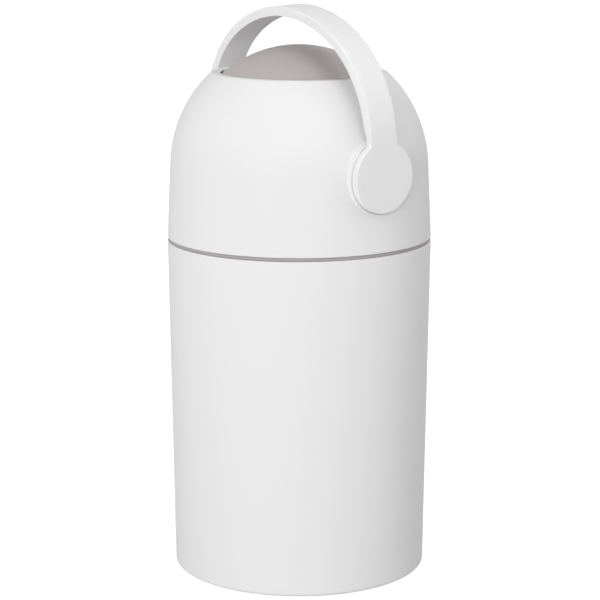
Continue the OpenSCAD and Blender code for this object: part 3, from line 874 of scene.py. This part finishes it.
@dataclass(frozen=True)
class Head:
    """The domed head, open at the top, with a flat boss at each side for a handle disc."""

    drive: Drive
    gap: float = 0.3
    band_h: float = 3.2
    wall: float = 2.8
    dome_r: float = 136.5
    dome_z: float = 433.0
    top_z: float = 533.0
    rim_gap: float = 1.5
    rim_round: float = 2.5
    rim_edges: tuple[float, float] = (0.8, 0.3)
    ball_r: float = 124.0
    edge: float = 0.7
    small_edge: float = 0.4
    boss_face: float = 135.1
    boss_skin: float = 2.8
    boss_fillet: float = 0.9
    boss_brim: float = 1.3
    boss_margin: float = 1.0
    back_margin: float = 2.0
    blend_rings: int = 7
    pocket_brow: float = 0.5
    pocket_root: float = 0.4
    boss_r: float = 39.5
    pocket_r: float = 38.1
    hub_r: float = 26.0
    hub_in: float = 121.0
    hub_overlap: float = 0.3
    hub_edge: float = 0.1
    bush_r: float = 18.0
    bore_bevel: float = 0.5
    column_at: float = 126.0
    column_r: float = 4.5
    column_bore: float = 1.9
    rib_from: float = 130.0
    rib_to: float = 137.2
    rib_t: float = 2.8
    column_h: float = 22.0
    columns: int = 6
    flange_top: float = 363.0
    knuckle_r: float = 4.0
    knuckle_w: float = 27.0
    bracket_in: float = 2.5
    bracket_gap: float = 0.1
    bracket_edge: float = 0.6
    bore_r: float = 1.8
    side_rows: int = 20
    first_share: float = 0.01
    dome_step: float = 1.5
    rim_clear_deg: float = 0.3
    window_columns: int = 17
    window_z: tuple[float, float] = (389.0, 486.0)

    @property
    def foot_z(self) -> float:
        """Height of the head's lower edge."""
        return self.drive.rim_z + 2 * self.gap + self.band_h

    @property
    def tangent_deg(self) -> float:
        """Latitude on the dome where the drafted side, drawn from the foot, meets it without a kink.

        The tangent from a point at the distance d and latitude b touches a circle of radius R at
        b + arccos(R / d).

        Returns:
            The latitude in degrees.
        """
        drop = self.foot_z - self.dome_z
        reach = np.hypot(self.drive.rim_r, drop)
        return float(np.degrees(np.arctan2(drop, self.drive.rim_r) + np.arccos(self.dome_r / reach)))

    def dome_line(self, latitudes: Array, inset: float) -> Array:
        """Points on the dome: R - inset times the cosine from the axis, and times the sine above the centre.

        Args:
            latitudes: The latitudes in degrees.
            inset: How far the points lie inside the outer skin.

        Returns:
            The points as rows of (distance from the axis, height).
        """
        a = np.radians(latitudes)
        return np.column_stack([(self.dome_r - inset) * np.cos(a),
                                self.dome_z + (self.dome_r - inset) * np.sin(a)])

    def side_line(self, shares: Array, inset: float) -> Array:
        """Points on the straight side, which is moved in along its normal.

        Args:
            shares: Shares of the way up the side, 0 at the foot.
            inset: How far the points lie inside the outer skin.

        Returns:
            The points as rows of (distance from the axis, height).
        """
        top = self.dome_line(np.array([self.tangent_deg]), inset)[0]
        a = np.radians(self.tangent_deg)
        foot = np.array([self.drive.rim_r, self.foot_z]) - inset * np.array([np.cos(a), np.sin(a)])
        return foot + shares[:, None] * (top - foot)

    def rim(self) -> Array:
        """The rim round the opening: a small round, a flat ring and an inner edge that follows the drum.

        The round touches the dome inside and the flat ring's height from below, so its centre lies at the
        dome's radius less its own from the dome's centre. The inner edge lies on a sphere round the pivot.

        Returns:
            The line from the outer skin, over the rim and down to the inner skin.
        """
        under = self.top_z - self.wall
        centre_z = self.top_z - self.rim_round
        centre_r = np.sqrt((self.dome_r - self.rim_round) ** 2 - (centre_z - self.dome_z) ** 2)
        turn = np.linspace(np.arctan2(centre_z - self.dome_z, centre_r), np.pi / 2, 7)
        shoulder = np.column_stack([centre_r + self.rim_round * np.cos(turn),
                                    centre_z + self.rim_round * np.sin(turn)])
        drum = [float(np.sqrt((self.ball_r + self.rim_gap) ** 2 - (z - self.drive.pivot_z) ** 2))
                for z in (self.top_z, under)]
        skin = float(np.sqrt((self.dome_r - self.wall) ** 2 - (under - self.dome_z) ** 2))
        corners = [(float(centre_r), self.top_z), (drum[0], self.top_z), (drum[1], under), (skin, under)]
        ring = rounded(corners, [0, *self.rim_edges, 0], 5, loop=False)
        return np.concatenate([shoulder[:-1], ring])

    def outline(self) -> tuple[Array, int]:
        """The head's closed outline: outer skin, rim, inner skin and lower edge.

        Returns:
            The outline and the number of rows in its outer skin. Inner row k from the end of the inner skin
            lies behind outer row k.
        """
        shares = np.linspace(self.first_share, 1, self.side_rows)
        rim = self.rim()
        ends = np.degrees(np.arctan2(rim[[0, -1], 1] - self.dome_z, rim[[0, -1], 0]))
        latitudes = np.arange(self.tangent_deg + self.dome_step, ends[0] - self.dome_step / 2, self.dome_step)
        outer = np.concatenate([self.side_line(shares, 0), self.dome_line(latitudes, 0)])
        kept = latitudes[latitudes < ends[1] - self.rim_clear_deg]
        inner = np.concatenate([self.side_line(shares, self.wall), self.dome_line(kept, self.wall)])[::-1]
        corners = np.array([inner[-1], (self.drive.rim_r - self.wall, self.foot_z),
                            (self.drive.rim_r, self.foot_z), outer[0]])
        radii = [0, self.small_edge, self.edge, 0]
        foot = rounded([tuple(point) for point in corners], radii, 4, loop=False)[1:-1]
        return np.concatenate([outer, rim, inner, foot]), len(outer)

    def skin_x(self, y: Array, z: Array, inset: float) -> Array:
        """How far out the skin lies at (y, z): the square root of r(z) squared less y squared.

        Args:
            y: Distances to the rear.
            z: Heights.
            inset: How far the skin is moved in.

        Returns:
            The distances along X.
        """
        foot, top = self.side_line(np.array([0.0, 1.0]), inset)
        straight = foot[0] + (z - foot[1]) * (top[0] - foot[0]) / (top[1] - foot[1])
        round_r = np.sqrt(np.maximum((self.dome_r - inset) ** 2 - (z - self.dome_z) ** 2, 1.0))
        radius = np.where(z < top[1], straight, round_r)
        return np.sqrt(np.maximum(radius ** 2 - y ** 2, 1.0))

    def window_edge(self, grid: Array, low: int, high: int) -> Array:
        """The grid points round a window, in order, from row low to row high and back.

        Args:
            grid: The surface's points, shaped (rows, columns, 3).
            low: The window's first row.
            high: Its last row, which is the smaller number where the rows run downwards.

        Returns:
            The points, shaped (n, 3).
        """
        side = self.window_columns
        columns = grid.shape[1]
        across = np.arange(-side, side) % columns
        up = np.arange(low, high) if high > low else np.arange(low, high, -1)
        right, left = side % columns, -side % columns
        return np.concatenate([grid[low, across], grid[up, right], grid[high, (across[::-1] + 1) % columns],
                               grid[up[::-1] + (1 if high > low else -1), left]])

    def boss(self, grid: Array, rows: tuple[int, int], inner_rows: tuple[int, int]) -> Sheet:
        """The flat round boss in the side window, from the outer skin's window to the inner one's.

        Every ring runs round the pivot axis. Outside, the rings shrink evenly from the window to a circle on
        the skin. Where the boss's face stands proud, a foot fillet, a wall and a rounded edge lead up to it.
        Where it lies deeper than the skin, a rounded edge leads down into a pocket. Both sizes are cut to
        half of the step's height, so they fade out where face and skin cross.

        Args:
            grid: The head's points, shaped (rows, columns, 3).
            rows: First and last row of the window in the outer skin.
            inner_rows: The same for the window in the inner skin.

        Returns:
            The surface that joins both windows.
        """
        edge = self.window_edge(grid, *rows)
        y, z = edge[:, 1], edge[:, 2] - self.drive.pivot_z
        reach, way = np.hypot(y, z), np.arctan2(z, y)
        cos, sin = np.cos(way), np.sin(way)

        def skin(rho: Array, inset: float = 0.0) -> Array:
            """How far out the skin lies at these distances from the pivot axis, one per point of a ring."""
            return self.skin_x(rho * cos, self.drive.pivot_z + rho * sin, inset)

        rings = [edge]

        def ring(rho: Array, x: Array) -> None:
            """Adds a ring round the pivot axis, at these distances from it and from the centre plane."""
            rings.append(np.column_stack([x, rho * cos, self.drive.pivot_z + rho * sin]))

        outside = self.boss_r + self.boss_margin
        for share in np.linspace(0, 1, self.blend_rings + 1)[1:]:
            rho = reach + share * (outside - reach)
            ring(rho, skin(rho))
        full = np.full_like(reach, 1.0)
        wall_skin = skin(full * self.boss_r)
        height = np.maximum(self.boss_face - wall_skin, 0)
        fillet = np.minimum(self.boss_fillet, height / 2)
        for draw, sink in zip(*quarter(5)):
            rho = self.boss_r + fillet * draw
            ring(rho, np.where(height > 0, skin(rho) + fillet * sink, skin(rho)))
        brim = np.minimum(self.boss_brim, height / 2)
        for draw, sink in zip(*quarter(5)):
            rho = self.boss_r - brim * sink
            ring(rho, np.where(height > 0, self.boss_face - brim * draw, skin(rho)))
        depth = np.maximum(skin(full * self.pocket_r) - self.boss_face, 0)
        brow = np.minimum(self.pocket_brow, depth / 2)
        for draw, sink in zip(*quarter(4)):
            rho = self.pocket_r + brow * draw
            ring(rho, np.where(depth > 0, skin(rho) - brow * sink, self.boss_face))
        root = np.minimum(self.pocket_root, depth / 2)
        for draw, sink in zip(*quarter(3)):
            ring(self.pocket_r - root * sink, self.boss_face + root * draw)
        back = self.boss_face - self.boss_skin
        for rho, x in ((self.bush_r + self.bore_bevel, self.boss_face),
                       (self.bush_r, self.boss_face - self.bore_bevel),
                       (self.bush_r, back), (self.pocket_r - self.back_margin, back)):
            ring(full * rho, full * x)
        behind = full * (self.boss_r + self.back_margin)
        ring(behind, skin(behind, self.wall))
        rings.append(self.window_edge(grid, *inner_rows))
        return Sheet(np.array(rings))

    def shell(self) -> list[Sheet]:
        """The whole head: skins, rim, bosses with hubs, screw columns and the hinge knuckle.

        Returns:
            The surfaces.
        """
        line, outer_rows = self.outline()
        body = revolved(line)
        low = int(np.argmin(np.abs(line[:outer_rows, 1] - self.window_z[0])))
        high = int(np.argmin(np.abs(line[:outer_rows, 1] - self.window_z[1])))
        lowest = self.side_line(np.array([self.first_share]), self.wall)
        last = int(np.flatnonzero(np.isclose(line, lowest).all(axis=1))[0])
        inner_low, inner_high = last - low, last - high
        side = self.window_columns
        half = TURN_STEPS // 2
        windows = tuple((first, end, middle - side, middle + side) for middle in (0, half)
                        for first, end in ((low, high), (inner_high, inner_low)))
        body = replace(body, windows=windows)
        boss = self.boss(body.points, (low, high), (inner_low, inner_high))
        hub_out = self.boss_face - self.boss_skin + self.hub_overlap
        hub = along_x(tube(self.hub_r, self.bush_r, self.hub_in, hub_out, self.hub_edge),
                      (0, 0, self.drive.pivot_z))
        pieces = [body, boss, mirrored_x(boss), hub, mirrored_x(hub)]
        column_top = self.flange_top + self.column_h
        column = tube(self.column_r, self.column_bore, self.flange_top, column_top, self.small_edge, 32)
        rib = block((self.rib_from, -self.rib_t / 2, self.flange_top),
                    (self.rib_to, self.rib_t / 2, column_top), self.small_edge)
        for turn in (np.arange(self.columns) + 0.5) * 360 / self.columns:
            pieces += [moved(column, (self.column_at, 0, 0), turn), moved(rib, (0, 0, 0), turn)]
        centre = (0.0, self.drive.hinge_y, self.drive.hinge_z)
        half_w = self.knuckle_w / 2
        barrel = along_x(tube(self.knuckle_r, self.bore_r, -half_w, half_w, self.small_edge), centre)
        foot = self.foot_z + self.bracket_gap
        bracket = block((-half_w, self.drive.rim_r - self.bracket_in, foot),
                        (half_w, self.drive.hinge_y - self.bore_r - self.bracket_gap, foot + self.knuckle_r),
                        self.bracket_edge)
        return pieces + [barrel, bracket]

    def build(self, shop: Workshop) -> None:
        """Adds the head's shell and dresses what it carries.

        Args:
            shop: Where the pieces are dressed and tied to their body.
        """
        shop.fit("head_shell_moulded", self.shell(), Finish.WHITE_SHELL, "head", "head_shell")
        shop.dress(Finish.INNER, "drum_housing", "seal_retainer")
        shop.dress(Finish.SEAL, "upper_seal", "lower_seal")
        shop.dress(Finish.ACETAL, "axle_bush_left", "axle_bush_right", "turn_stop", "front_catch")
        shop.dress(Finish.STEEL, "housing_screws", "stop_screws", "catch_screws")


@dataclass(frozen=True)
class Handle:
    """The loop handle: a flat band that arches over the head between two round discs."""

    drive: Drive
    crown_r: float = 159.6
    shoulder_r: float = 123.0
    band_w: float = 35.0
    band_t: float = 10.0
    disc_r: float = 37.5
    disc_t: float = 6.8
    fillet_r: float = 5.0
    edge: float = 2.0
    inner_edge: float = 0.5
    edge_steps: int = 6
    face_columns: int = 6
    tip_deg: tuple[float, ...] = (0.0, 0.4, 1.2, 3.0)
    disc_rows: int = 60
    fillet_rows: int = 8
    band_rows: int = 83
    thins_at: tuple[float, float] = (40.6, 54.0)

    def __post_init__(self) -> None:
        """Checks that the arcs can meet."""
        if self.crown_r <= self.shoulder_r:
            raise ValueError("the crown's radius must be larger than the shoulders' radius")

    @property
    def arcs(self) -> tuple[float, float, float, float]:
        """Where the arcs' centres lie.

        The shoulder's centre is one shoulder radius inside the leg, the crown's is one crown radius under the
        top, in the middle, and the two lie the difference of the radii apart.

        Returns:
            The shoulder centre's x and z, the crown centre's z and the angle that the shoulder turns through.
        """
        shoulder_x = self.drive.handle_x - self.shoulder_r
        crown_z = self.drive.handle_h - self.crown_r
        rise = float(np.sqrt((self.crown_r - self.shoulder_r) ** 2 - shoulder_x ** 2))
        return shoulder_x, crown_z + rise, crown_z, float(np.pi / 2 - np.arctan2(shoulder_x, rise))

    def path(self, along: Array, depth: Array) -> tuple[Array, Array]:
        """A point of the band at a distance along its outer face and at a depth below it.

        The half path is a straight leg, a shoulder arc and half the crown's arc. Each centre lies on the
        normal of the point before, so the three parts meet without a kink.

        Args:
            along: Distances from the pivot along the outer face.
            depth: Distances below the outer face.

        Returns:
            The points' x and z, measured from the pivot.
        """
        shoulder_x, shoulder_z, crown_z, bend = self.arcs
        arc_end = shoulder_z + bend * self.shoulder_r
        a = (along - shoulder_z) / self.shoulder_r
        b = bend + (along - arc_end) / self.crown_r
        x = np.where(along < shoulder_z, self.drive.handle_x - depth,
                     np.where(along < arc_end, shoulder_x + (self.shoulder_r - depth) * np.cos(a),
                              (self.crown_r - depth) * np.cos(b)))
        z = np.where(along < shoulder_z, along,
                     np.where(along < arc_end, shoulder_z + (self.shoulder_r - depth) * np.sin(a),
                              crown_z + (self.crown_r - depth) * np.sin(b)))
        return x, z

    @property
    def half_length(self) -> float:
        """Length of the outer face from the pivot to the middle of the crown: r a for each arc of angle a."""
        _, shoulder_z, _, bend = self.arcs
        return shoulder_z + bend * self.shoulder_r + (np.pi / 2 - bend) * self.crown_r

    def outline(self, inset: Array) -> tuple[Array, Array]:
        """Half of the outline of disc, fillet and band, drawn in by each inset.

        A disc of radius R - inset runs into a fillet of radius r + inset, whose centre stays where it is, and
        that into the band's edge at w / 2 - inset. The rows are closer together at the disc's lowest point.

        Args:
            inset: How far the outline is drawn in, one value per column.

        Returns:
            Distances along the band and half widths, both shaped (outline points, columns).
        """
        side = self.band_w / 2 + self.fillet_r
        up = np.sqrt((self.disc_r + self.fillet_r) ** 2 - side ** 2)
        meet = np.pi - np.arctan2(side, up)
        *tip, last_tip = np.radians(self.tip_deg)
        disc = np.concatenate([tip, np.linspace(last_tip, meet, self.disc_rows)])[:, None]
        disc_r = self.disc_r - inset[None]
        start = np.arctan2(-side, -up)
        fillet = np.linspace(start, -np.pi / 2, self.fillet_rows + 1)[1:, None]
        fillet_r = self.fillet_r + inset[None]
        band = np.linspace(up, self.half_length, self.band_rows + 1)[1:, None] + 0 * inset[None]
        along = np.concatenate([-disc_r * np.cos(disc), up + fillet_r * np.cos(fillet), band])
        width = np.concatenate([disc_r * np.sin(disc), side + fillet_r * np.sin(fillet),
                                0 * band + self.band_w / 2 - inset[None]])
        return along, width

    def shell(self) -> list[Sheet]:
        """The handle as one surface: rows along the band and columns round its section.

        The columns go across the outer face, round an edge, down the side, round the inner edge and back
        across the inner face. Each group of columns gives its share of the half width, its inset, its depth
        and whether that depth is counted from the inner face.

        Returns:
            The surface.
        """
        draw, sink = quarter(self.edge_steps + 1)
        face = np.linspace(1, -1, self.face_columns + 2)[1:-1]
        outer, inner = self.edge, self.inner_edge
        groups = (
            (face, outer, 0, 0),
            (-1, outer * draw, outer * sink, 0),
            (-1, inner * draw[::-1], -inner * sink[::-1], 1),
            (-face, inner, 0, 1),
            (1, inner * draw, -inner * sink, 1),
            (1, outer * draw[::-1], outer * sink[::-1], 0),
        )
        share, inset, below, from_inner = np.concatenate(
            [np.stack(np.broadcast_arrays(*group)) for group in groups], axis=1)
        along, width = self.outline(inset)
        grow = np.clip((along - self.thins_at[0]) / (self.thins_at[1] - self.thins_at[0]), 0, 1)
        thick = self.disc_t + (self.band_t - self.disc_t) * grow ** 2 * (3 - 2 * grow)
        x, z = self.path(along, below + from_inner * thick)
        half = np.stack([x, share * width, z], axis=2)
        whole = np.concatenate([half, (half * MIRROR)[-2::-1]])
        return [self.drive.leaned(Sheet(whole))]

    def build(self, shop: Workshop) -> None:
        """Adds the handle and dresses its axles.

        Args:
            shop: Where the pieces are dressed and tied to their body.
        """
        shop.fit("handle_moulded", self.shell(), Finish.WHITE_HANDLE, "drum", "handle")
        shop.dress(Finish.ACETAL, "axle_left", "axle_right")
        shop.dress(Finish.STEEL, "axle_screws")


@dataclass(frozen=True)
class Drum:
    """The ball-shaped drum with its chute, which turns with the handle."""

    def build(self, shop: Workshop) -> None:
        """Dresses the drum's halves, its chute, collars and screws.

        Args:
            shop: Where the pieces are dressed.
        """
        shop.dress(Finish.DRUM, "drum_half_upper", "drum_half_lower",
                   "chute_collar_front", "chute_collar_rear")
        shop.dress(Finish.INNER, "chute_tube")
        shop.dress(Finish.STEEL, "drum_screws")


@dataclass(frozen=True)
class Piston:
    """The weighted piston that slides in the chute."""

    def build(self, shop: Workshop) -> None:
        """Dresses the piston's cups, weight, glide rings and screws.

        Args:
            shop: Where the pieces are dressed.
        """
        shop.dress(Finish.INNER, "piston_cup_front", "piston_cup_rear")
        shop.dress(Finish.STEEL, "piston_weight", "piston_screws")
        shop.dress(Finish.FELT, "glide_ring_front", "glide_ring_rear")


# ---------------------------------------------------------------- floor, light and camera


@dataclass(frozen=True)
class Lamp:
    """A soft rectangular lamp that faces the bin's middle.

    Attributes:
        name: The lamp's name.
        azimuth: Direction in degrees, 0 in front of the bin and 90 at its +X side.
        elevation: Degrees above the horizon.
        distance: Distance in metres.
        size: Side of the square in metres.
        power: Power in watts.
    """

    name: str
    azimuth: float
    elevation: float
    distance: float
    size: float
    power: float


@dataclass(frozen=True)
class Studio:
    """A plain pale floor, soft lamps, an even world and the camera."""

    aim: tuple[float, float, float] = (0.0, 0.0, 0.3)
    lamps: tuple[Lamp, ...] = (
        Lamp("key_lamp", 28.0, 10.0, 3.4, 1.6, 70.5),
        Lamp("top_lamp", 80.0, 78.0, 2.2, 1.3, 15.0),
        Lamp("left_lamp", -60.0, 20.0, 3.0, 1.6, 19.5),
        Lamp("right_lamp", 88.0, 12.0, 3.0, 1.6, 8.0),
        Lamp("rear_lamp", 140.0, 40.0, 3.0, 1.6, 26.5),
    )
    ambient: float = 0.16
    floor_half: float = 12.0
    floor_colour: str = "#d2d2d2"
    floor_glow: tuple[float, float] = (0.82, 1.02)
    glow_from: tuple[float, float] = (0.6, 3.0)
    lens: float = 132.6
    sensor: float = 36.0
    camera_reach: float = 100.0
    camera_place: tuple[float, float, float] = (1.8392, -1.4137, 0.7699)
    camera_pitch: float = 11.73
    camera_azimuth: float = 52.45
    camera_shift: float = 0.00105

    def add_lamps(self) -> None:
        """Hangs each lamp on a sphere round the aim and turns it to face the aim."""
        for lamp in self.lamps:
            a, e = np.radians(lamp.azimuth), np.radians(lamp.elevation)
            light = bpy.data.lights.new(lamp.name, "AREA")
            light.shape, light.size, light.energy = "SQUARE", lamp.size, lamp.power
            holder = bpy.data.objects.new(lamp.name, light)
            holder.location = (self.aim[0] + lamp.distance * np.cos(e) * np.sin(a),
                               self.aim[1] - lamp.distance * np.cos(e) * np.cos(a),
                               self.aim[2] + lamp.distance * np.sin(e))
            holder.rotation_euler = (np.pi / 2 - e, 0.0, a)
            holder.visible_camera = False
            bpy.context.scene.collection.objects.link(holder)

    def add_world(self) -> None:
        """An even grey light, which the camera, mirror rays and clear rays see as plain white."""
        world = bpy.data.worlds.new("white_studio")
        world.use_nodes = True
        tree = world.node_tree
        tree.nodes.clear()
        path = add_node(tree, "ShaderNodeLightPath")
        seen = add_node(tree, "ShaderNodeMath", {"operation": "MAXIMUM"},
                        {0: path.outputs["Is Camera Ray"], 1: path.outputs["Is Glossy Ray"]})
        white = add_node(tree, "ShaderNodeMath", {"operation": "MAXIMUM"},
                         {0: seen.outputs["Value"], 1: path.outputs["Is Transmission Ray"]})
        strength = add_node(tree, "ShaderNodeMapRange", {"To Min": self.ambient, "To Max": 1.0},
                            {"Value": white.outputs["Value"]})
        sky = add_node(tree, "ShaderNodeBackground", {"Color": (1.0, 1.0, 1.0, 1.0)},
                       {"Strength": strength.outputs["Result"]})
        add_node(tree, "ShaderNodeOutputWorld", links={"Surface": sky.outputs["Background"]})
        bpy.context.scene.world = world

    def add_floor(self) -> None:
        """A matt pale floor that keeps the shadow and glows, for the camera and in mirrors, up to white.

        The glow is weaker round the bin, where the lamps light the floor, and grows with the distance.
        """
        half = self.floor_half
        mesh = bpy.data.meshes.new("studio_floor")
        corners = [(-half, -half, 0), (half, -half, 0), (half, half, 0), (-half, half, 0)]
        mesh.from_pydata(corners, [], [(0, 1, 2, 3)])
        floor = bpy.data.objects.new("studio_floor", mesh)
        material, tree, place = new_material("matt_floor_paper")
        path = add_node(tree, "ShaderNodeLightPath")
        seen = add_node(tree, "ShaderNodeMath", {"operation": "MAXIMUM"},
                        {0: path.outputs["Is Camera Ray"], 1: path.outputs["Is Glossy Ray"]})
        reach = add_node(tree, "ShaderNodeVectorMath", {"operation": "LENGTH"}, {0: place})
        grown = add_node(tree, "ShaderNodeMapRange",
                         {"From Min": self.glow_from[0], "From Max": self.glow_from[1],
                          "To Min": self.floor_glow[0], "To Max": self.floor_glow[1]},
                         {"Value": reach.outputs["Value"]})
        glow = add_node(tree, "ShaderNodeMath", {"operation": "MULTIPLY"},
                        {0: seen.outputs["Value"], 1: grown.outputs["Result"]})
        paper = add_node(tree, "ShaderNodeBsdfPrincipled",
                         {"Base Color": linear(self.floor_colour), "Roughness": 1.0,
                          "Specular IOR Level": 0.0, "Emission Color": (1.0, 1.0, 1.0, 1.0)},
                         {"Emission Strength": glow.outputs["Value"]})
        add_node(tree, "ShaderNodeOutputMaterial", links={"Surface": paper.outputs["BSDF"]})
        mesh.materials.append(material)
        bpy.context.scene.collection.objects.link(floor)

    def add_camera(self) -> None:
        """The camera, a little above the bin's head and to its front right."""
        camera = bpy.data.objects.new("studio_camera", bpy.data.cameras.new("studio_camera"))
        camera.data.lens, camera.data.sensor_width = self.lens, self.sensor
        camera.data.shift_x, camera.data.clip_end = self.camera_shift, self.camera_reach
        camera.location = self.camera_place
        camera.rotation_euler = (np.radians(90 - self.camera_pitch), 0.0, np.radians(self.camera_azimuth))
        bpy.context.scene.collection.objects.link(camera)
        bpy.context.scene.camera = camera

    def build(self) -> None:
        """Sets up the whole studio."""
        self.add_world()
        self.add_floor()
        self.add_lamps()
        self.add_camera()
        bpy.context.scene.view_settings.view_transform = "Standard"


def main() -> None:
    """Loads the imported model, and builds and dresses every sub-assembly."""
    logging.basicConfig(level=logging.INFO, format="%(name)s: %(message)s")
    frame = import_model()
    shop = Workshop(Palette(), frame["nodes"])
    drive = Drive.read(frame["joints"])
    for assembly in (Bucket(drive), BagRing(drive), Head(drive), Handle(drive), Drum(), Piston()):
        LOG.info("building %s", type(assembly).__name__)
        assembly.build(shop)
    Studio().build()


if __name__ == "__main__":
    main()
